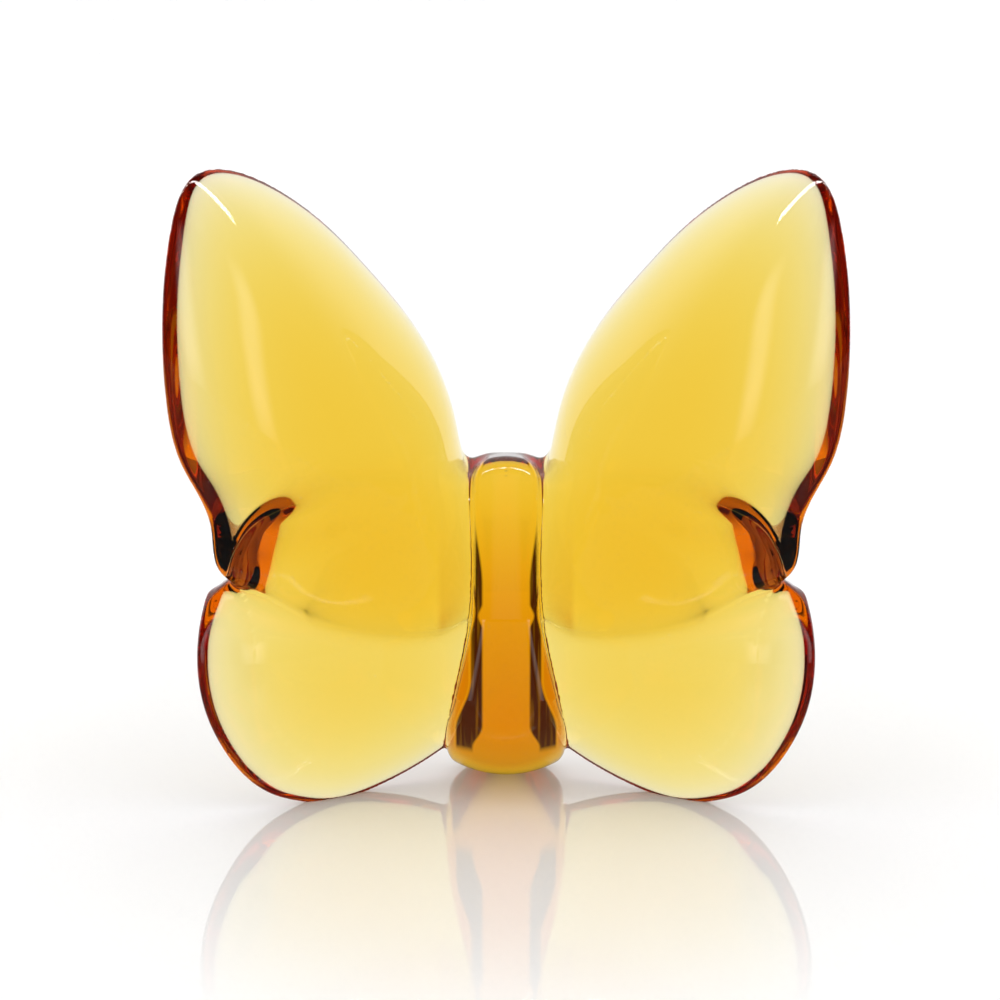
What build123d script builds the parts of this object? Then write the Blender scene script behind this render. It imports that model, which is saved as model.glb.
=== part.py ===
from build123d import *
from math import cos, radians, sin, sqrt
import os

os.makedirs("parts", exist_ok=True)

# A standing butterfly of solid amber glass, in millimetres, with +Z up and the viewer on the -Y side.
# Each piece is drawn upright first: x is across, y runs back from the body's axis, z is height above
# the lowest point of the hindwings. The whole is then leant back and set down on its three feet.

# Attitude of the whole
wing_fold = 36.0            # degrees that each wing is swept forward of the flat
lean_back = 8.0             # degrees that the body leans away from the viewer
ground_depth = 0.3          # glass ground away under each foot, to give it a flat
bond_thickness = 0.1        # clear adhesive between two glass faces

# Wings, measured on the wing's own flat: span out from the body's axis, height up
wing_span = 41.5
wing_height = 62.6
forewing_front = 5.0        # its crown, in front of the wing's centre sheet
forewing_back = 4.2         # its flat back, behind that sheet
forewing_rim = 2.9          # its widest outline, behind that sheet too
forewing_fullness = 2.7     # a higher fullness keeps the middle of the front flatter
hindwing_front = -0.4       # less than zero, as its crown lies behind that sheet
hindwing_back = 7.6
hindwing_rim = 6.2
hindwing_fullness = 2.3
wing_swell = 1.15           # near 1 the front rises from the rim as a lens does, near 2 as a pebble does
back_fullness = 10.0        # a high value keeps the back flat up to its rolled rim
lap_depth = 1.9             # the half lap's face, behind the wing's centre sheet

# Body: a tapered bar with a round nose in front and a shallow round back, measured from its axis
body_half_width = 3.1
body_height = 33.0
waist_height = 18.6
flank_height = 3.8          # where the flanks end and the domed foot begins
flank_half_width = 6.4
back_line_top = -1.5        # where the flat sides end and the round back begins, behind the axis
back_line_waist = 4.5
back_line_foot = 7.0
back_round_top = 4.0
back_round_foot = 6.0
nose_line_top = 3.6         # where the flat sides end and the nose begins, in front of the axis
nose_line_waist = 8.0
nose_line_foot = 4.5
nose_round_top = 2.9
nose_round_foot = 5.6
body_top_radius = 1.6
foot_across_radius = 11.2
foot_along_radius = 26.0
foot_setback = 9.0          # the foot's lowest point, behind the axis

# Outlines as shares of the wing's span and height, clockwise from the tip on the right-hand wing
forewing_outline_shares = [
    (0.855, 0.988), (0.911, 0.895), (0.929, 0.789), (0.92, 0.652), (0.879, 0.552), (0.795, 0.448),
    (0.78, 0.39), (0.68, 0.343), (0.54, 0.291), (0.33, 0.256), (0.14, 0.266), (0.0, 0.34),
    (0.02, 0.47), (0.071, 0.54), (0.107, 0.625), (0.204, 0.745), (0.354, 0.849), (0.546, 0.95),
]
hindwing_outline_shares = [
    (0.06, 0.467), (0.19, 0.502), (0.32, 0.519), (0.46, 0.513), (0.6, 0.477), (0.73, 0.381),
    (0.786, 0.245), (0.762, 0.155), (0.714, 0.097), (0.654, 0.052), (0.588, 0.023), (0.512, 0.007),
    (0.42, 0.0), (0.299, 0.014), (0.1, 0.065), (-0.03, 0.13), (-0.07, 0.24), (-0.04, 0.36),
]
# The point about which the outline shrinks towards the crown
forewing_crown_share = (0.44, 0.47)
hindwing_crown_share = (0.37, 0.24)

# The levels at which a wing's form is drawn, as shares of the way from the rim to the crown or back
dome_shares = [0, 0.08, 0.2, 0.35, 0.5, 0.65, 0.8, 0.9, 0.97]
roll_shares = [0, 0.6, 0.87, 0.97]

overrun = 5.0               # how far cutting tools reach past the glass

# The flanks splay in a straight line, which is run on to where the cutting tools end
flank_slope = (flank_half_width - body_half_width) / (waist_height - flank_height)
low_half_width = flank_half_width + flank_slope * (flank_height + overrun)

# The right-hand wing's centre sheet: its x runs out along the wing, its y runs up, its z points forward
wing_sheet = Plane(
    origin=(0, 0, 0),
    x_dir=(cos(radians(wing_fold)), -sin(radians(wing_fold)), 0),
    z_dir=(-sin(radians(wing_fold)), -cos(radians(wing_fold)), 0),
)


def outline_prism(outline_shares, low, high):
    """A wing's outline carried between two heights in front of its centre sheet."""
    points = [(out * wing_span, up * wing_height) for out, up in outline_shares]
    with BuildPart() as prism:
        with BuildSketch(wing_sheet.offset(low)):
            with BuildLine():
                Spline(*points, periodic=True)
            make_face()
        extrude(amount=high - low)
    return prism.part


def level_stack(outline_shares, crown_share, levels):
    """A skin over level cuts, each the outline shrunk about the crown, given as height and shrink."""
    crown_out, crown_up = crown_share
    with BuildPart() as stack:
        for height, shrink in levels:
            points = [
                ((crown_out + (out - crown_out) * shrink) * wing_span,
                 (crown_up + (up - crown_up) * shrink) * wing_height)
                for out, up in outline_shares
            ]
            with BuildSketch(wing_sheet.offset(height)):
                with BuildLine():
                    Spline(*points, periodic=True)
                make_face()
        loft()
    return stack.part


def domed_wing(outline_shares, crown_share, front, back, rim, fullness):
    """One whole wing before its joints are ground: a lens-like front and a flat back with a rolled rim.
    The shrink to the power of the fullness, plus the level's share of the depth to the power of the
    swell, makes one; for the back that second power is a plain square."""
    dome = [(share * (front + rim) - rim, (1 - share**wing_swell) ** (1 / fullness)) for share in dome_shares]
    roll = [(-share * (back - rim) - rim, (1 - share**2) ** (1 / back_fullness)) for share in roll_shares]
    with BuildPart() as wing:
        add(level_stack(outline_shares, crown_share, dome))
        add(level_stack(outline_shares, crown_share, roll))
    return wing.part


def body_sides(clearance):
    """The space between the planes of the body's sides, run on past the glass every way."""
    with BuildPart() as envelope:
        with BuildSketch(Plane.XZ.offset(-wing_span)):
            with BuildLine():
                Polyline(
                    (body_half_width, wing_height + overrun),
                    (body_half_width, waist_height),
                    (low_half_width, -overrun),
                    (-low_half_width, -overrun),
                    (-body_half_width, waist_height),
                    (-body_half_width, wing_height + overrun),
                    close=True,
                )
            make_face()
            if clearance:
                offset(amount=clearance, kind=Kind.INTERSECTION)
        extrude(amount=2 * wing_span)
    return envelope.part


def body_section(height, half_width, nose_line, nose_round, back_line, back_round):
    """A level cut of the body: round back, two straight sides and a round nose."""
    with BuildSketch(Plane.XY.offset(height)) as section:
        with BuildLine():
            EllipticalCenterArc((0, -nose_line), half_width, nose_round, start_angle=180, arc_size=180)
            Line((half_width, -nose_line), (half_width, back_line))
            EllipticalCenterArc((0, back_line), half_width, back_round, start_angle=0, arc_size=180)
            Line((-half_width, back_line), (-half_width, -nose_line))
        make_face()
    return section.sketch


forewing_whole = domed_wing(
    forewing_outline_shares, forewing_crown_share,
    forewing_front, forewing_back, forewing_rim, forewing_fullness,
)
hindwing_whole = domed_wing(
    hindwing_outline_shares, hindwing_crown_share,
    hindwing_front, hindwing_back, hindwing_rim, hindwing_fullness,
)
root_seats = body_sides(bond_thickness)

# The body before it is leant back: two tapered lengths that meet at the waist
low_section = body_section(
    -overrun, low_half_width, nose_line_foot, nose_round_foot, back_line_foot, back_round_foot,
)
waist_section = body_section(
    waist_height, body_half_width, nose_line_waist, nose_round_top, back_line_waist, back_round_top,
)
top_section = body_section(
    body_height, body_half_width, nose_line_top, nose_round_top, back_line_top, back_round_top,
)
with BuildPart() as body_bar:
    loft([low_section, waist_section], ruled=True)
    loft([waist_section, top_section], ruled=True)
    fillet(body_bar.edges().group_by(Axis.Z)[-1], radius=body_top_radius)

# The half lap: behind its face the glass is the hindwing's, in front of it the forewing's
lap_low = -lap_depth - bond_thickness
hindwing_side = outline_prism(hindwing_outline_shares, -hindwing_back - overrun, -lap_depth)
with BuildPart() as forewing_lapped:
    add(forewing_whole)
    add(hindwing_side, mode=Mode.SUBTRACT)

with BuildPart() as lap_pocket:
    add(forewing_whole)
    with BuildSketch(wing_sheet.offset(lap_low)):
        Rectangle(2 * (wing_span + overrun), 2 * (wing_height + overrun))
    extrude(amount=forewing_front + overrun, mode=Mode.INTERSECT)

with BuildPart() as hindwing_lapped:
    add(hindwing_whole)
    add(lap_pocket.part, mode=Mode.SUBTRACT)

with BuildPart() as lap_bond:
    add(lap_pocket.part)
    add(hindwing_side, mode=Mode.INTERSECT)
    add(root_seats, mode=Mode.SUBTRACT)

# Each wing's root is ground to lie against the body's side, one bond thickness off it
with BuildPart() as forewing_ground:
    add(forewing_lapped.part)
    add(root_seats, mode=Mode.SUBTRACT)

with BuildPart() as hindwing_ground:
    add(hindwing_lapped.part)
    add(root_seats, mode=Mode.SUBTRACT)

# The adhesive at the roots fills that gap wherever the body's side is flat
flat_side_top = body_height - body_top_radius
with BuildPart() as root_layer:
    add(root_seats)
    add(body_sides(0), mode=Mode.SUBTRACT)
    with BuildSketch(Plane.YZ):
        with BuildLine():
            Polyline(
                (-nose_line_foot, -overrun),
                (-nose_line_waist, waist_height),
                (-nose_line_top, flat_side_top),
                (back_line_top, flat_side_top),
                (back_line_waist, waist_height),
                (back_line_foot, -overrun),
                close=True,
            )
        make_face()
    extrude(amount=wing_span, mode=Mode.INTERSECT)

with BuildPart() as forewing_root_bond:
    add(forewing_lapped.part)
    add(root_layer.part, mode=Mode.INTERSECT)

with BuildPart() as hindwing_root_bond:
    add(hindwing_lapped.part)
    add(root_layer.part, mode=Mode.INTERSECT)

# Leant back, then set down with the middle of its depth and its lowest ground face at the origin
lean = Rotation(-lean_back, 0, 0)
front_reach = (lean * forewing_whole).bounding_box().min.Y
back_reach = (lean * body_bar.part).bounding_box().max.Y
hindwing_bottom = (lean * hindwing_whole).bounding_box().min.Z
at_rest = Location((0, -(front_reach + back_reach) / 2, -hindwing_bottom - ground_depth)) * lean

# Under the body the glass is turned to a barrel, round across and flatter along, that meets the ground
foot_place = (at_rest * Location((0, foot_setback, 0))).position.Y
foot_axis_height = foot_across_radius - ground_depth
foot_axis = Axis((0, foot_place, foot_axis_height), (0, 1, 0))
foot_half_length = sqrt(foot_along_radius**2 - (foot_along_radius - foot_across_radius) ** 2)
with BuildPart() as foot_cutter:
    with Locations(foot_axis.position):
        Box(
            wing_span, 2 * foot_half_length, foot_across_radius + overrun,
            align=(Align.CENTER, Align.CENTER, Align.MAX),
        )
    with BuildSketch(Plane.YZ):
        with BuildLine():
            foot_arc = ThreePointArc(
                (foot_place - foot_half_length, foot_axis_height),
                (foot_place, -ground_depth),
                (foot_place + foot_half_length, foot_axis_height),
            )
            Line(foot_arc @ 1, foot_arc @ 0)
        make_face()
    revolve(axis=foot_axis, mode=Mode.SUBTRACT)

# The finished pieces: leant back, set down, and ground flat where they meet the ground
with BuildPart() as body:
    add(at_rest * body_bar.part)
    add(foot_cutter.part, mode=Mode.SUBTRACT)
    split(bisect_by=Plane.XY, keep=Keep.TOP)
body.part.label = "body"
export_step(body.part, "parts/body.step")

right_hand_pieces = {
    "forewing": forewing_ground,
    "hindwing": hindwing_ground,
    "forewing_root_bond": forewing_root_bond,
    "hindwing_root_bond": hindwing_root_bond,
    "lap_bond": lap_bond,
}
for piece_name, upright in right_hand_pieces.items():
    with BuildPart() as right_piece:
        add(at_rest * upright.part)
        split(bisect_by=Plane.XY, keep=Keep.TOP)
    right_piece.part.label = f"{piece_name}_right"
    export_step(right_piece.part, f"parts/{piece_name}_right.step")

    with BuildPart() as left_piece:
        add(right_piece.part)
        mirror(about=Plane.YZ, mode=Mode.REPLACE)
    left_piece.part.label = f"{piece_name}_left"
    export_step(left_piece.part, f"parts/{piece_name}_left.step")
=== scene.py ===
from math import cos, pi, radians, sin
import bpy
import numpy as np
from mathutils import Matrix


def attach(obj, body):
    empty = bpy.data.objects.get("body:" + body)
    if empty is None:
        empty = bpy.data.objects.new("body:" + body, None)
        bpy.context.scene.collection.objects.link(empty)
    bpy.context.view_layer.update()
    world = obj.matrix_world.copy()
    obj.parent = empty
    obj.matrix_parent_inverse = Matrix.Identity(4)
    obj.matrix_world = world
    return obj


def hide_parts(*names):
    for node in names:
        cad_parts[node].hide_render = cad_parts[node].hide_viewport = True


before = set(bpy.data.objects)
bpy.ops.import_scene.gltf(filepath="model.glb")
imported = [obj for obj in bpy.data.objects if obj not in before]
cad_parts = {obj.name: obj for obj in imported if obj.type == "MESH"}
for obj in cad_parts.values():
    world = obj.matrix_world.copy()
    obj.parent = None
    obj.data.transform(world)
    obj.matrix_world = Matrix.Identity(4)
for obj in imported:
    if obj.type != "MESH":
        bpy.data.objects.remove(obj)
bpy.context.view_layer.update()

# The butterfly is worked out in millimetres, upright as it is drawn: x across, f forward from the
# body's axis, z up from the hindwings' lowest point. It is then leant back and set on its feet.
MM = 0.001
wing_fold = radians(36.0)
lean_back = radians(8.0)
wing_span = 41.5
wing_height = 62.6
forewing_front, forewing_back = 5.0, 4.2
hindwing_front, hindwing_back = -0.8, 7.6
lap_depth = 1.9

# The body's half width and height, then how its flanks splay below the waist. Its flat sides end at
# the nose lines in front and the back lines behind, and the rounds are how far nose and back go on
body_half_width, body_height = 3.1, 34.4
waist_height, flank_height, flank_half_width = 18.6, 3.8, 6.8
back_line_top, back_line_waist, back_line_foot = -0.3, 5.7, 6.0
back_round_top, back_round_foot = 2.8, 7.0
nose_line_top, nose_line_waist, nose_line_foot = 3.6, 8.0, 6.1
nose_round_top, nose_round_foot = 2.9, 4.0
nose_power, back_taper = 5.0, 1.4
body_crown_radius = 6.5
foot_across_radius, foot_along_radius, foot_setback = 11.2, 26.0, 9.0
ground_depth = 0.3
overrun = 5.0

# Outlines as shares of the wings' span and height
forewing_outline_shares = [
    (0.855, 0.988), (0.911, 0.895), (0.929, 0.789), (0.92, 0.652), (0.879, 0.552), (0.795, 0.448),
    (0.78, 0.39), (0.68, 0.343), (0.54, 0.291), (0.33, 0.256), (0.14, 0.266), (0.0, 0.34),
    (0.02, 0.47), (0.071, 0.54), (0.107, 0.625), (0.204, 0.745), (0.354, 0.849), (0.546, 0.95),
]
hindwing_outline_shares = [
    (0.06, 0.467), (0.19, 0.502), (0.32, 0.519), (0.46, 0.513), (0.6, 0.477), (0.73, 0.381),
    (0.786, 0.245), (0.762, 0.155), (0.714, 0.097), (0.654, 0.052), (0.588, 0.023), (0.512, 0.007),
    (0.42, 0.0), (0.299, 0.014), (0.1, 0.065), (-0.03, 0.13), (-0.07, 0.24), (-0.04, 0.36),
]

# A wing swells from its rim as an oval pebble does, and a higher fullness keeps its middle flatter.
# Its back is nearly flat, so its widest outline lies near the back
forewing_fullness, forewing_rim_depth, forewing_crown_share = 2.7, -3.2, (0.44, 0.47)
hindwing_fullness, hindwing_rim_depth, hindwing_crown_share = 2.3, -6.2, (0.37, 0.24)
back_fullness = 16.0
# Near 1 the front rises from the rim as a lens does, near 2 as a pebble does, as at the lower margin
wing_swell, lower_swell = 1.15, 2.0
# Where it runs up behind the forewing, the hindwing's back slopes down to its margin, more steeply at
# the outer corner. The slope sets in between these shares of the height, first inside, then outside
bevel_depth, bevel_slope, bevel_steeper, bevel_roll = -3.9, radians(18.0), radians(15.0), 1.2
bevel_start_share, bevel_start_outward, bevel_full_share, bevel_full_outward = 0.22, 0.10, 0.34, 0.06
# How far molten glass has filled the corner where two forms meet
lap_fill_rim, lap_fill_front, lap_fill_back = 0.8, 1.5, 4.0
body_fill_foot, body_fill_top = 0.8, 2.8
body_top_roll, foot_roll = 1.6, 1.2
# The gap in a joint is thinner than a hair, so that the light crosses it unbroken
joint_gap = 0.01
# The whole is shifted from its upright place to rest on the ground, with its depth centred
rest_back, rest_down = 1.74, 1.063

# The colour that the glass leaves, and how fast it takes up the rest, per metre
glass_colour, glass_density = (0.984, 0.842, 0.01, 1.0), 300.0
# Painted tints of the body's front: a dark one for painted reflections of what it mirrors inside, and a
# deeper amber one for painted shade
painted_reflection_tint, painted_shade_tint = (0.006, 0.001, 0.0005, 1), (0.62, 0.34, 0.05, 1)
painted_reflection_low, painted_reflection_high = 5.0, 29.3

grid_step = 0.3


def closed_curve(points, count):
    """A closed smooth curve through the points: cubic pieces with matching slope and bend,
    each run as long as the chord between its two points."""
    p = np.array(points, float)
    n = len(p)
    run = np.linalg.norm(np.roll(p, -1, 0) - p, axis=1)
    rows = np.zeros((n, n))
    right = np.zeros((n, 2))
    for i in range(n):
        rows[i, (i - 1) % n] = run[i - 1]
        rows[i, i] = 2 * (run[i - 1] + run[i])
        rows[i, (i + 1) % n] = run[i]
        right[i] = 6 * ((p[(i + 1) % n] - p[i]) / run[i] - (p[i] - p[i - 1]) / run[i - 1])
    bend = np.linalg.solve(rows, right)
    ends = np.concatenate([[0.0], np.cumsum(run)])
    t = np.linspace(0, ends[-1], count, endpoint=False)
    k = np.clip(np.searchsorted(ends, t, side="right") - 1, 0, n - 1)
    k1 = (k + 1) % n
    a = (ends[k + 1] - t)[:, None]
    b = (t - ends[k])[:, None]
    h = run[k][:, None]
    return ((bend[k] * a**3 + bend[k1] * b**3) / (6 * h)
            + (p[k] / h - bend[k] * h / 6) * a + (p[k1] / h - bend[k1] * h / 6) * b)


class Outline:
    """A wing's outline on its own flat, kept as radius against angle about its middle."""

    def __init__(self, shares, crown_share):
        self.curve = closed_curve([(a * wing_span, b * wing_height) for a, b in shares], 2400)
        self.middle = np.array(crown_share) * (wing_span, wing_height)
        d = self.curve - self.middle
        angle = np.unwrap(np.arctan2(d[:, 1], d[:, 0]))
        radius = np.hypot(d[:, 0], d[:, 1])
        if angle[-1] < angle[0]:
            angle, radius = angle[::-1], radius[::-1]
        self.count = 1440
        even = np.linspace(0, 2 * pi, self.count, endpoint=False)
        even = (even - angle[0]) % (2 * pi) + angle[0]
        closed_angle, closed_radius = np.append(angle, angle[0] + 2 * pi), np.append(radius, radius[0])
        waves = np.fft.rfft(np.interp(even, closed_angle, closed_radius))
        waves[40:] = 0
        self.radius = np.fft.irfft(waves, self.count)
        self.slope = np.fft.irfft(waves * 1j * np.arange(len(waves)), self.count)

    def reach(self, u, v):
        """Radius and slant of the outline at the angle of each point, and the point's own distance
        from the middle."""
        du, dv = u - self.middle[0], v - self.middle[1]
        turn = np.arctan2(dv, du) % (2 * pi) / (2 * pi) * self.count
        i = np.floor(turn).astype(np.int64)
        s = turn - i
        i, j = i % self.count, (i + 1) % self.count
        step = 2 * pi / self.count
        s2, s3 = s * s, s * s * s
        radius = ((2 * s3 - 3 * s2 + 1) * self.radius[i] + (s3 - 2 * s2 + s) * step * self.slope[i]
                  + (3 * s2 - 2 * s3) * self.radius[j] + (s3 - s2) * step * self.slope[j])
        slope = (1 - s) * self.slope[i] + s * self.slope[j]
        return radius, np.sqrt(1 + (slope / radius) ** 2), np.hypot(du, dv)


forewing_outline = Outline(forewing_outline_shares, forewing_crown_share)
hindwing_outline = Outline(hindwing_outline_shares, hindwing_crown_share)


def ease(x, start, end):
    """0 before start, 1 after end, with a smooth change between."""
    t = np.clip((x - start) / (end - start), 0, 1)
    return t * t * (3 - 2 * t)


def fill(a, b, reach):
    """The union of two forms with the corner between them filled over that reach."""
    h = np.maximum(reach - np.abs(a - b), 0)
    return np.minimum(a, b) - h * h / (4 * reach)


def trim(a, b, radius):
    """What two forms share, with the edge between them rounded to that radius."""
    rounded = np.hypot(np.maximum(a + radius, 0), np.maximum(b + radius, 0))
    return np.minimum(np.maximum(a, b), -radius) + rounded


def wing_form(reach, w, front, back, rim_depth, fullness, swell):
    """A wing as a lens with a nearly flat back: its level cut is the outline shrunk about its crown,
    where the share of the radius to the power of the fullness, plus the share of the depth to the
    power of the swell, makes one."""
    radius, slant, out = reach
    share = out / radius
    ahead = w > rim_depth
    half = np.where(ahead, front - rim_depth, back + rim_depth)
    full = np.where(ahead, fullness, back_fullness)
    swell = np.where(ahead, swell, 2.0)
    across = np.abs(w - rim_depth) / half
    q = np.sqrt(share**full + across**swell)
    steep_through = swell / 2 * across ** (swell - 1) / half
    steep_across = full / 2 * share ** (full - 1) * slant / radius
    steep = np.hypot(steep_through, steep_across)
    return (q - 1) / np.maximum(steep / np.maximum(q, 1e-6), 0.1)


def body_form(x, f, v):
    """The body: a bar whose level cut is a rectangle with a half oval nose and a half oval back,
    splayed below the waist, deeper towards the foot, crowned on top and turned to a barrel below."""
    slope = (flank_half_width - body_half_width) / (waist_height - flank_height)
    splay = (waist_height - v) * slope
    half_width = body_half_width + (splay + np.sqrt(splay * splay + 0.36)) / 2
    down = np.clip((waist_height - v) / (waist_height + overrun), 0, 1)
    rise = np.clip((v - waist_height) / (body_height - waist_height), 0, 1.2)
    nose_line = (nose_line_waist + (nose_line_foot - nose_line_waist) * down
                 + (nose_line_top - nose_line_waist) * rise)
    back_line = (back_line_waist + (back_line_foot - back_line_waist) * down
                 + (back_line_top - back_line_waist) * rise)
    nose_round = nose_round_top + (nose_round_foot - nose_round_top) * down
    back_round = back_round_top + (back_round_foot - back_round_top) * down
    half_width = half_width - back_taper * down * (1 - ease(f, -back_line, nose_line))
    g = np.maximum(f - nose_line, 0) / nose_round + np.maximum(-back_line - f, 0) / back_round
    depth = np.where(f > nose_line, nose_round, back_round)
    power = np.where(f > nose_line, nose_power, 2.0)
    share = np.abs(x) / half_width
    q = np.maximum((share**power + g**power) ** (1 / power), 1e-6)
    steep = np.hypot((share / q) ** (power - 1), half_width / depth * (g / q) ** (power - 1))
    bar = half_width * (q - 1) / np.maximum(steep, 0.5)
    crown = x * x / (2 * body_crown_radius) * ease(f, -1.0, 2.0)
    bar = trim(bar, v - body_height + crown, body_top_roll)
    back, up = rest_place(-f, v)
    from_foot = back - foot_setback * cos(lean_back) - rest_back
    along = np.sqrt(np.maximum(foot_along_radius**2 - from_foot**2, 1))
    axis_height = foot_across_radius - ground_depth
    barrel = np.hypot(x, np.minimum(up - axis_height, 0)) - (foot_across_radius - foot_along_radius + along)
    return trim(bar, np.where(up < axis_height, barrel, -9.0), foot_roll)


def rest_place(y, z):
    """Upright depth and height to those of the butterfly at rest."""
    back = y * cos(lean_back) + z * sin(lean_back) + rest_back
    return back, z * cos(lean_back) - y * sin(lean_back) - rest_down


def glass(x, y, z):
    """Below zero inside the glass: both wings of a side and the body, with their corners filled."""
    f = -y
    u = np.abs(x) * cos(wing_fold) + f * sin(wing_fold)
    w = f * cos(wing_fold) - np.abs(x) * sin(wing_fold)
    low = 1 - ease(z / wing_height, 0.30, 0.42)
    fore = wing_form(forewing_outline.reach(u, z), w, forewing_front, forewing_back,
                     forewing_rim_depth, forewing_fullness, wing_swell + (lower_swell - wing_swell) * low)
    reach = hindwing_outline.reach(u, z)
    high = ease(z / wing_height, 0.26, 0.36)
    hind = wing_form(reach, w, hindwing_front, hindwing_back, hindwing_rim_depth, hindwing_fullness,
                     wing_swell + (lower_swell - wing_swell) * high)
    outer = ease(u / wing_span, 0.45, 0.65)
    start = bevel_start_share + bevel_start_outward * outer
    full = bevel_full_share + bevel_full_outward * outer
    sloped = ease(z / wing_height, start, full) * (1 - ease(u / wing_span, 0.71, 0.79))
    slant_back = bevel_slope + bevel_steeper * outer
    bevel = slant_back + (pi / 2 - slant_back) * (1 - sloped)
    radius, slant, out = reach
    bevel_face = (bevel_depth - w) * np.cos(bevel) + (out - radius) / slant * np.sin(bevel)
    hind = trim(hind, bevel_face, bevel_roll * sloped + 0.01)
    lap_fill = lap_fill_front + (lap_fill_back - lap_fill_front) * ease(-w, 1.0, 3.5)
    lap_fill = lap_fill + (lap_fill_rim - lap_fill) * ease(u / wing_span, 0.55, 0.8)
    body_fill = ease(z / body_height, 0.7, 0.9) * (1 - 0.6 * ease(f, 0.0, 3.0))
    body_fill = body_fill_foot + (body_fill_top - body_fill_foot) * body_fill
    both = fill(fill(fore, hind, lap_fill), body_form(x, f, z), body_fill)
    return np.maximum(both, -rest_place(y, z)[1])


def glass_slope(points, step):
    """The direction in which the glass field grows fastest, from differences over one step."""
    slope = np.empty_like(points)
    for axis in range(3):
        shift = np.zeros(3)
        shift[axis] = step
        slope[:, axis] = (glass(*(points + shift).T) - glass(*(points - shift).T)) / (2 * step)
    return slope


def skin_of(field, low, step):
    """The skin of the glass: one point in each cell that the surface passes through, at the middle
    of its crossings, and one quad round each grid edge that the surface cuts."""
    inside = field < 0
    nx, ny, nz = field.shape
    count = sum(inside[i:nx - 1 + i, j:ny - 1 + j, k:nz - 1 + k].astype(np.int8)
                for i in (0, 1) for j in (0, 1) for k in (0, 1))
    cut = (count > 0) & (count < 8)
    number = np.full(cut.shape, -1, np.int64)
    number[cut] = np.arange(cut.sum())
    cell = np.array(np.nonzero(cut)).T
    total = np.zeros((len(cell), 3))
    hits = np.zeros(len(cell))
    for axis in range(3):
        one, two = [n for n in range(3) if n != axis]
        for a in (0, 1):
            for b in (0, 1):
                start = cell.copy()
                start[:, one] += a
                start[:, two] += b
                end = start.copy()
                end[:, axis] += 1
                f0, f1 = field[tuple(start.T)], field[tuple(end.T)]
                crosses = (f0 < 0) != (f1 < 0)
                at = np.zeros((len(cell), 3))
                at[:, axis] = np.where(crosses, f0 / np.where(crosses, f0 - f1, 1), 0)
                at[:, one], at[:, two] = a, b
                total[crosses] += at[crosses]
                hits += crosses
    points = low + (cell + total / hits[:, None]) * step
    quads = []
    for axis in range(3):
        one, two = [n for n in range(3) if n != axis]
        first, second = [slice(1, -1)] * 3, [slice(1, -1)] * 3
        first[axis], second[axis] = slice(0, -1), slice(1, None)
        leaves = inside[tuple(first)]
        crosses = leaves != inside[tuple(second)]
        edge = np.array(np.nonzero(crosses)).T + 1
        edge[:, axis] -= 1
        corners = []
        for a, b in ((-1, -1), (0, -1), (0, 0), (-1, 0)):
            c = edge.copy()
            c[:, one] += a
            c[:, two] += b
            corners.append(number[tuple(c.T)])
        quad = np.stack(corners, 1)
        turn = leaves[crosses] == (axis == 1)
        quad[turn] = quad[turn][:, ::-1]
        quads.append(quad)
    return points, np.concatenate(quads)


def whole_glass():
    """Points and quads of the whole butterfly as one skin, upright, in millimetres."""
    side = np.arange(0, 36.5, grid_step)
    ys = np.arange(-28.0, 15.0, grid_step)
    zs = np.arange(-1.5, 64.5, grid_step)
    half = np.stack([glass(x, *np.meshgrid(ys, zs, indexing="ij")) for x in side])
    field = np.concatenate([half[:0:-1], half])
    points, quads = skin_of(field, np.array([-side[-1], ys[0], zs[0]]), grid_step)
    for _ in range(4):
        slope = glass_slope(points, 0.01)
        move = (glass(*points.T) / np.maximum((slope**2).sum(1), 0.05))[:, None] * slope
        length = np.linalg.norm(move, axis=1)
        points -= move * np.minimum(1, 0.5 * grid_step / np.maximum(length, 1e-9))[:, None]
    return points, quads


def put_mesh(name, points, faces):
    """A mesh object of those points and equal-sized faces."""
    mesh = bpy.data.meshes.new(name)
    corners = faces.shape[1]
    mesh.vertices.add(len(points))
    mesh.vertices.foreach_set("co", points.ravel())
    mesh.loops.add(faces.size)
    mesh.loops.foreach_set("vertex_index", faces.ravel().astype(np.int32))
    mesh.polygons.add(len(faces))
    mesh.polygons.foreach_set("loop_start", np.arange(0, faces.size, corners, dtype=np.int32))
    mesh.update(calc_edges=True)
    thing = bpy.data.objects.new(name, mesh)
    bpy.context.scene.collection.objects.link(thing)
    return thing


def prism(name, ring, low, high, place):
    """A closed prism: a ring of flat points between two heights, carried into place."""
    n = len(ring)
    flat = np.vstack([np.column_stack([ring, np.full(n, low)]), np.column_stack([ring, np.full(n, high)])])
    mesh = bpy.data.meshes.new(name)
    walls = [(i, (i + 1) % n, n + (i + 1) % n, n + i) for i in range(n)]
    mesh.from_pydata(place(flat), [], [list(range(n))[::-1], list(range(n, 2 * n))] + walls)
    mesh.update()
    flag = mesh.attributes.new("bond", "FLOAT", "FACE")
    flag.data.foreach_set("value", np.ones(len(mesh.polygons), np.float32))
    thing = bpy.data.objects.new(name, mesh)
    bpy.context.scene.collection.objects.link(thing)
    return thing


def cut(thing, tool, how):
    """thing after one Boolean with tool, as plain mesh data."""
    step = thing.modifiers.new("cut", "BOOLEAN")
    step.operation, step.solver, step.object = how, "MANIFOLD", tool
    graph = bpy.context.evaluated_depsgraph_get()
    mesh = bpy.data.meshes.new_from_object(thing.evaluated_get(graph))
    thing.modifiers.remove(step)
    result = bpy.data.objects.new(thing.name + "_cut", mesh)
    bpy.context.scene.collection.objects.link(result)
    return result


def on_wing(flat):
    """Right wing's span, height and depth to upright x, y and z."""
    u, v, w = flat.T
    x, y = u * cos(wing_fold) - w * sin(wing_fold), -u * sin(wing_fold) - w * cos(wing_fold)
    return np.column_stack([x, y, v])


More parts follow.
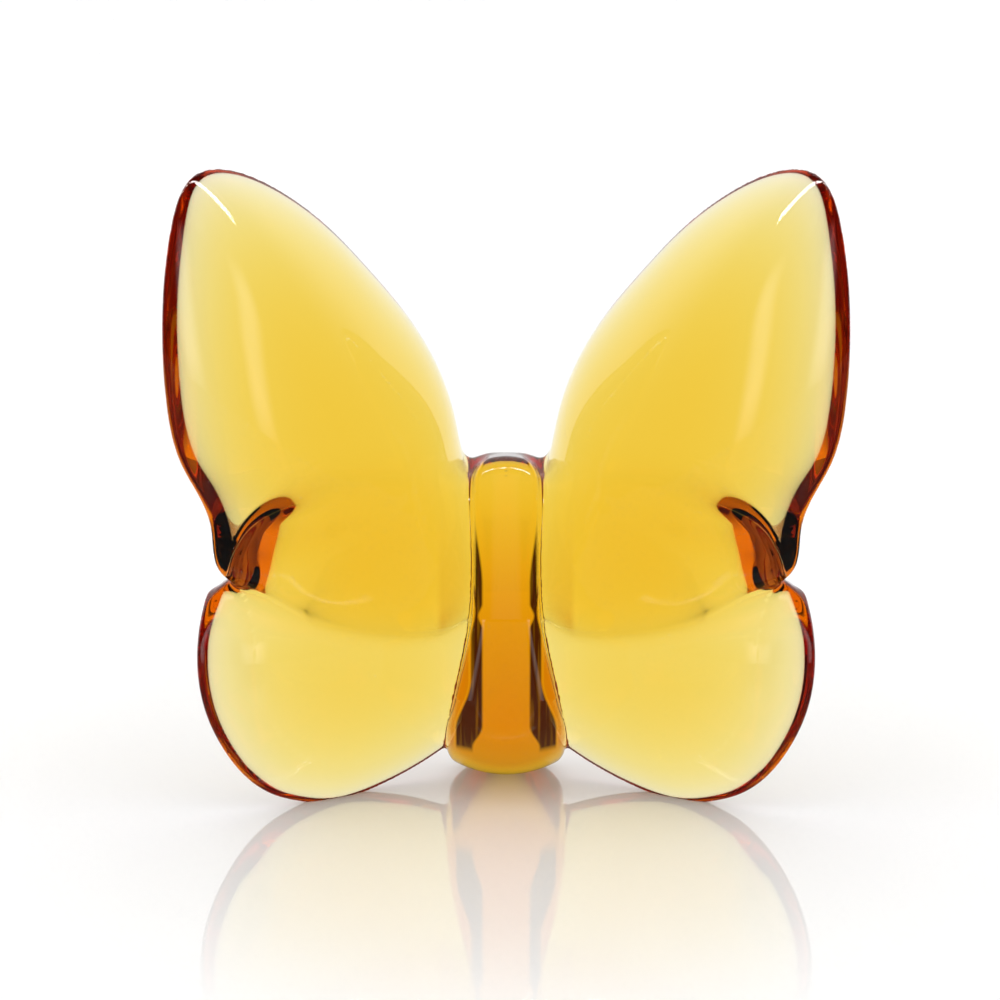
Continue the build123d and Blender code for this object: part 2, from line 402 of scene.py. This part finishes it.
def on_body(flat):
    """Across, height and depth to upright x, y and z."""
    return np.column_stack([flat[:, 0], -flat[:, 2], flat[:, 1]])


def below_forewing():
    """The region of the wing's flat under the forewing's lower margin, from the notch to the root."""
    curve = forewing_outline.curve
    lower = curve[(curve[:, 1] < 0.388 * wing_height) & (curve[:, 0] < 0.79 * wing_span)][::8]
    lower = lower[np.argsort(-lower[:, 0])]
    top = lower[0, 1]
    root = lower[-1, 1]
    frame_points = [(-40.0, root), (-40.0, -20.0), (90.0, -20.0), (90.0, top)]
    return np.vstack([frame_points, lower])


def face_outwards(thing):
    """Turns a closed mesh's faces over if the volume that they enclose comes out below zero."""
    mesh = thing.data
    mesh.calc_loop_triangles()
    points = np.empty(len(mesh.vertices) * 3)
    mesh.vertices.foreach_get("co", points)
    points = points.reshape(-1, 3)
    corners = np.empty(len(mesh.loop_triangles) * 3, np.int32)
    mesh.loop_triangles.foreach_get("vertices", corners)
    a, b, c = points[corners.reshape(-1, 3)].transpose(1, 0, 2)
    if np.einsum("ij,ij->i", a, np.cross(b, c)).sum() < 0:
        mesh.flip_normals()


skin, quads = whole_glass()
whole = put_mesh("whole_glass", skin, quads)
whole.data.attributes.new("bond", "FLOAT", "FACE")

# The spaces that the pieces are cut with end well outside the glass
far_up, far_down = 90.0, -20.0
body_reach, wing_reach = 60.0, 40.0
slope = (flank_half_width - body_half_width) / (waist_height - flank_height)
low_half_width = body_half_width + slope * (waist_height - far_down)
side_ring = np.array([
    (body_half_width, far_up), (body_half_width, waist_height), (low_half_width, far_down),
    (-low_half_width, far_down), (-body_half_width, waist_height), (-body_half_width, far_up),
])
right_ring = np.array([(0.0, far_down), (far_up, far_down), (far_up, far_up), (0.0, far_up)])
body_space = prism("body_space", side_ring[::-1], -body_reach, body_reach, on_body)
hind_space = prism("hind_space", below_forewing()[::-1], -wing_reach, wing_reach, on_wing)
lap_space = prism("lap_space", hindwing_outline.curve[::8], -wing_reach, -lap_depth, on_wing)
right_space = prism("right_space", right_ring, -body_reach, body_reach, on_body)
for tool in (body_space, hind_space, lap_space, right_space):
    face_outwards(tool)

hindwing_space = cut(hind_space, lap_space, "UNION")
body_glass = cut(whole, body_space, "INTERSECT")
wings = cut(whole, body_space, "DIFFERENCE")
right_wings = cut(wings, right_space, "INTERSECT")
right_forewing = cut(right_wings, hindwing_space, "DIFFERENCE")
right_hindwing = cut(right_wings, hindwing_space, "INTERSECT")


def finished(name, source, mirrored):
    """The piece at rest in metres: joint faces drawn in by half the gap, outer corners given the
    field's own direction as their normal, and the whole leant back and set down."""
    mesh = source.data
    n = len(mesh.vertices)
    points = np.empty(n * 3)
    mesh.vertices.foreach_get("co", points)
    points = points.reshape(-1, 3)
    corner = np.empty(len(mesh.loops), np.int32)
    mesh.loops.foreach_get("vertex_index", corner)
    start = np.empty(len(mesh.polygons), np.int32)
    mesh.polygons.foreach_get("loop_start", start)
    size = np.empty(len(mesh.polygons), np.int32)
    mesh.polygons.foreach_get("loop_total", size)
    bond = np.empty(len(mesh.polygons), np.float32)
    mesh.attributes["bond"].data.foreach_get("value", bond)
    face_normal = np.empty(len(mesh.polygons) * 3)
    mesh.polygons.foreach_get("normal", face_normal)
    face_normal = face_normal.reshape(-1, 3)
    face_of = np.repeat(np.arange(len(size)), size)
    joined = bond[face_of] > 0.5
    inward = np.zeros((n, 3))
    np.add.at(inward, corner[joined], face_normal[face_of[joined]])
    length = np.linalg.norm(inward, axis=1)
    inward /= np.maximum(length, 1e-9)[:, None]
    slope = glass_slope(points, 0.02)
    slope /= np.maximum(np.linalg.norm(slope, axis=1), 1e-9)[:, None]
    normal = np.where(joined[:, None], face_normal[face_of], slope[corner])
    points = points - inward * joint_gap / 2
    if mirrored:
        points[:, 0] *= -1
        normal[:, 0] *= -1
        order = np.arange(len(corner))
        order = np.repeat(start + size - 1, size) - (order - np.repeat(start, size))
        corner, normal = corner[order], normal[order]
    back, up = rest_place(points[:, 1], points[:, 2])
    points = np.column_stack([points[:, 0], back, up]) * MM
    normal = np.column_stack([
        normal[:, 0],
        normal[:, 1] * cos(lean_back) + normal[:, 2] * sin(lean_back),
        normal[:, 2] * cos(lean_back) - normal[:, 1] * sin(lean_back),
    ])
    made = bpy.data.meshes.new(name)
    made.vertices.add(n)
    made.vertices.foreach_set("co", points.ravel())
    made.loops.add(len(corner))
    made.loops.foreach_set("vertex_index", corner)
    made.polygons.add(len(start))
    made.polygons.foreach_set("loop_start", start)
    made.update(calc_edges=True)
    flag = made.attributes.new("bond", "FLOAT", "FACE")
    flag.data.foreach_set("value", bond)
    made.shade_smooth()
    made.normals_split_custom_set(normal)
    piece = bpy.data.objects.new(name, made)
    bpy.context.scene.collection.objects.link(piece)
    return piece


class Wire:
    """One output of a node tree. Sums of wires are written as plain sums and become Math nodes."""

    def __init__(self, tree, socket=None):
        self.tree, self.socket = tree, socket

    def node(self, kind, settings=None, inputs=None, output=0):
        """Any other node of the same tree, from its kind, its settings, and a value or a wire for
        each input. Gives the wire of the named output."""
        made = self.tree.nodes.new(kind)
        for name, value in (settings or {}).items():
            setattr(made, name, value)
        for name, value in (inputs or {}).items():
            if isinstance(value, Wire):
                self.tree.links.new(value.socket, made.inputs[name])
            else:
                made.inputs[name].default_value = value
        return Wire(self.tree, made.outputs[output] if made.outputs else None)

    def maths(self, how, first, second=0.0):
        return self.node("ShaderNodeMath", {"operation": how}, {0: first, 1: second})

    def __add__(self, other):
        return self.maths("ADD", self, other)

    def __radd__(self, other):
        return self.maths("ADD", other, self)

    def __sub__(self, other):
        return self.maths("SUBTRACT", self, other)

    def __rsub__(self, other):
        return self.maths("SUBTRACT", other, self)

    def __mul__(self, other):
        return self.maths("MULTIPLY", self, other)

    def __rmul__(self, other):
        return self.maths("MULTIPLY", other, self)

    def __abs__(self):
        return self.maths("ABSOLUTE", self)

    def rise(self, start, end):
        """0 below start, 1 above end, with a smooth change between."""
        return self.node("ShaderNodeMapRange", {"interpolation_type": "SMOOTHSTEP"},
                         {"Value": self, "From Min": start, "From Max": end})

    def band(self, start, end, soft):
        """1 between start and end, 0 outside, with soft ends."""
        return self.rise(start - soft, start + soft) * (1 - self.rise(end - soft, end + soft))


def empty_tree(owner):
    """The owner's node tree with nothing in it."""
    owner.use_nodes = True
    owner.node_tree.nodes.clear()
    return Wire(owner.node_tree)


def painted_reflection_and_shade(tree, place):
    """Two masks of the body's front, painted light for looks that its own optics don't give. The first is
    a painted dark reflection: a streak down each side, thin above the waist and wide below, with fine
    lines in it. The second is painted shade, where the glass looks deeper amber: from the waist down,
    and most on the flanks outside the streaks."""
    across = abs(tree.node("ShaderNodeSeparateXYZ", {}, {"Vector": place}, "X")) * 1000
    away = tree.node("ShaderNodeSeparateXYZ", {}, {"Vector": place}, "Y") * 1000
    up = tree.node("ShaderNodeSeparateXYZ", {}, {"Vector": place}, "Z") * 1000
    pinch = 0.4 * up.band(18.6, 19.8, 0.6)
    inner = 2.15 + 0.85 * up.rise(22.0, painted_reflection_high) + 1.0 * (1 - up.rise(5.5, 8.5)) + pinch
    outer = 3.2 + 0.4 * (1 - up.rise(17.0, 19.5)) + 1.5 * (1 - up.rise(7.5, 13.0))
    stretched = tree.node("ShaderNodeMapping", {}, {"Vector": place, "Scale": (2600.0, 0.0, 130.0)})
    lines = tree.node("ShaderNodeTexNoise", {}, {"Vector": stretched, "Scale": 1.0, "Detail": 1.0})
    lines = lines.rise(0.5, 0.75)
    # Painted dark reflection down each side of the body's front, with fine lines in it
    streak = (across - inner).rise(0.0, 0.3) * (outer - across).rise(0.0, 0.25) * (1 - 0.06 * lines)
    front = (1 - away.rise(-3.0, 1.0)) * (1 - across.rise(6.2, 7.0))
    flank = (across - outer).rise(0.0, 0.4) * (1 - up.rise(14.0, 20.0)) * up.rise(4.0, 7.0)
    # Painted shade: darker amber from the waist down, and most on the flanks
    painted_shade = (1 - up.rise(8.0, 32.0)) * up.rise(0.5, 3.0) * 0.8 + flank * 0.7
    return streak * up.band(painted_reflection_low, painted_reflection_high, 0.6) * front, painted_shade * front


def amber_glass():
    """Clear amber glass: its skin bends the light, its inside takes light up along the way, and at a
    joint the light goes straight on. On the body's front, painted dark reflections and painted shade
    tint the skin. Casting leaves faint waves, and hands leave faint dull spots."""
    mat = bpy.data.materials.new("amber_glass")
    tree = empty_tree(mat)
    place = tree.node("ShaderNodeTexCoord", output="Object")
    waves = tree.node("ShaderNodeTexNoise", {}, {"Vector": place, "Scale": 110.0, "Detail": 1.0})
    spots = tree.node("ShaderNodeTexNoise", {}, {"Vector": place, "Scale": 420.0, "Detail": 3.0})
    ripple = tree.node("ShaderNodeBump", {}, {"Height": waves, "Strength": 0.25, "Distance": 0.0001})
    streak, painted_shade = painted_reflection_and_shade(tree, place)
    # Painted shade tints the body's front a deeper amber
    tint = tree.node("ShaderNodeMix", {"data_type": "RGBA"},
                     {"Factor": painted_shade, "A": (1, 1, 1, 1), "B": painted_shade_tint}, "Result")
    # Painted dark reflections laid over the painted shade
    tint = tree.node("ShaderNodeMix", {"data_type": "RGBA"},
                     {"Factor": streak, "A": tint, "B": painted_reflection_tint}, "Result")
    skin = tree.node("ShaderNodeBsdfPrincipled", {}, {
        "Base Color": tint, "Transmission Weight": 1.0, "IOR": 1.5,
        "Roughness": spots.rise(0.45, 0.8) * 0.005, "Normal": ripple,
    })
    joined = tree.node("ShaderNodeAttribute", {"attribute_name": "bond"}, output="Fac")
    straight = tree.node("ShaderNodeBsdfTransparent")
    surface = tree.node("ShaderNodeMixShader", {}, {0: joined, 1: skin, 2: straight})
    inside = tree.node("ShaderNodeVolumeAbsorption", {}, {"Color": glass_colour, "Density": glass_density})
    tree.node("ShaderNodeOutputMaterial", {}, {"Surface": surface, "Volume": inside})
    return mat


amber = amber_glass()
pieces = {
    "body": (finished("body_glass", body_glass, False), ["body"]),
}
for side, mirrored in (("right", False), ("left", True)):
    pieces["forewing_" + side] = (
        finished("forewing_glass_" + side, right_forewing, mirrored),
        ["forewing_" + side, "forewing_root_bond_" + side, "lap_bond_" + side],
    )
    pieces["hindwing_" + side] = (
        finished("hindwing_glass_" + side, right_hindwing, mirrored),
        ["hindwing_" + side, "hindwing_root_bond_" + side],
    )
for piece, nodes in pieces.values():
    piece.data.materials.append(amber)
    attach(piece, "root")
    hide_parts(*nodes)
for scrap in (whole, body_space, hind_space, lap_space, right_space, hindwing_space,
              body_glass, wings, right_wings, right_forewing, right_hindwing):
    bpy.data.objects.remove(scrap)


def floor_finish():
    """White board under a clear coat that mirrors only near the feet. Seen straight through the
    glass it is plain white, and for light that was mirrored before, it has painted shade on the viewer's
    side."""
    mat = bpy.data.materials.new("white_board")
    tree = empty_tree(mat)
    place = tree.node("ShaderNodeTexCoord", output="Object")
    depth = tree.node("ShaderNodeSeparateXYZ", {}, {"Vector": place}, "Y")
    grain = tree.node("ShaderNodeTexNoise", {}, {"Vector": place, "Scale": 900.0, "Detail": 2.0})
    width = tree.node("ShaderNodeSeparateXYZ", {}, {"Vector": place}, "X")
    coat = 1 - (width * width * 2.2 + depth * depth).rise(0.0015, 0.0085)
    seen = tree.node("ShaderNodeLightPath", output="Is Camera Ray")
    through = tree.node("ShaderNodeLightPath", output="Is Transmission Ray") * (1 - thrown_about(tree))
    board = tree.node("ShaderNodeBsdfPrincipled", {}, {
        # Painted shade on the viewer's side, seen only by light that was mirrored before
        "Base Color": 1 - after_mirroring(tree) * (1 - depth.rise(-0.05, 0.15)) * 0.9,
        "Roughness": 0.6 + grain * 0.1, "Coat Weight": coat, "Coat Roughness": 0.02,
        "Emission Color": 0.07 * seen, "Emission Strength": 1.0,
    })
    white = tree.node("ShaderNodeEmission", {}, {"Color": (1, 1, 1, 1), "Strength": 1.0})
    surface = tree.node("ShaderNodeMixShader", {}, {0: through, 1: board, 2: white})
    tree.node("ShaderNodeOutputMaterial", {}, {"Surface": surface})
    return mat


def after_mirroring(tree):
    """1 for light that was mirrored by the glass or the floor on its way, else 0."""
    return tree.maths("GREATER_THAN", tree.node("ShaderNodeLightPath", output="Glossy Depth"), 0.5)


def thrown_about(tree):
    """1 for light that leaves the glass after it was mirrored inside, else 0."""
    return tree.node("ShaderNodeLightPath", output="Is Transmission Ray") * after_mirroring(tree)


def studio():
    """A white room for what is seen straight or through the glass. What is mirrored is darker on the
    viewer's side, with two tall soft lamps, a small soft lamp and a row of small lamps overhead."""
    world = bpy.data.worlds.new("studio")
    bpy.context.scene.world = world
    tree = empty_tree(world)
    place = tree.node("ShaderNodeTexCoord", output="Generated")
    across = tree.node("ShaderNodeSeparateXYZ", {}, {"Vector": place}, "X")
    away = tree.node("ShaderNodeSeparateXYZ", {}, {"Vector": place}, "Y")
    up = tree.node("ShaderNodeSeparateXYZ", {}, {"Vector": place}, "Z")
    near = 1 - away.rise(-0.2, 0.0)
    room = 0.03 + 0.9 * away.rise(-0.2, 0.4)
    tall_lamps = abs(across).band(0.26, 0.42, 0.06) * up.band(0.0, 0.4, 0.1) * near * 2.0
    small_lamp = (1 - abs(across).rise(0.0, 0.12)) * up.band(0.5, 0.58, 0.08) * near * 0.4
    dashes = tree.maths("FRACT", across * 150.0).band(0.3, 0.75, 0.08)
    row = away.band(-0.41, -0.33, 0.01) * up.rise(0.5, 0.6) * (1 - abs(across).rise(0.60, 0.62))
    row = row * dashes * 45.0
    mirrored = room + tall_lamps + small_lamp + row
    mirroring = tree.node("ShaderNodeLightPath", output="Is Glossy Ray")
    mirroring = mirroring * (1 - tree.node("ShaderNodeLightPath", output="Is Transmission Ray"))
    strength = (1 + mirroring * (mirrored - 1)
                + thrown_about(tree) * (away.rise(-0.1, 0.6) - 1) * 0.95)
    room_light = tree.node("ShaderNodeBackground", {}, {"Color": (1, 1, 1, 1), "Strength": strength})
    tree.node("ShaderNodeOutputWorld", {}, {"Surface": room_light})


floor_corners = 3.0 * np.array([(-1, -1, 0), (1, -1, 0), (1, 1, 0), (-1, 1, 0)])
floor = put_mesh("floor", floor_corners, np.array([[0, 1, 2, 3]]))
floor.data.materials.append(floor_finish())
studio()
light_turns = bpy.context.scene.cycles
light_turns.max_bounces = light_turns.glossy_bounces = light_turns.transmission_bounces = 14

camera_data = bpy.data.cameras.new("camera")
camera = bpy.data.objects.new("camera", camera_data)
bpy.context.scene.collection.objects.link(camera)
camera_down = radians(12.0)
camera_far = 0.62
aim_x, aim_y, aim_z = -0.0006, -0.0049, 0.03061
camera.location = (aim_x, aim_y - camera_far * cos(camera_down), aim_z + camera_far * sin(camera_down))
camera.rotation_euler = (pi / 2 - camera_down, 0, 0)
camera_data.lens = 227.8
camera_data.sensor_width = 36
camera_data.clip_start = 0.01
bpy.context.scene.camera = camera
bpy.context.scene.view_settings.view_transform = "Standard"
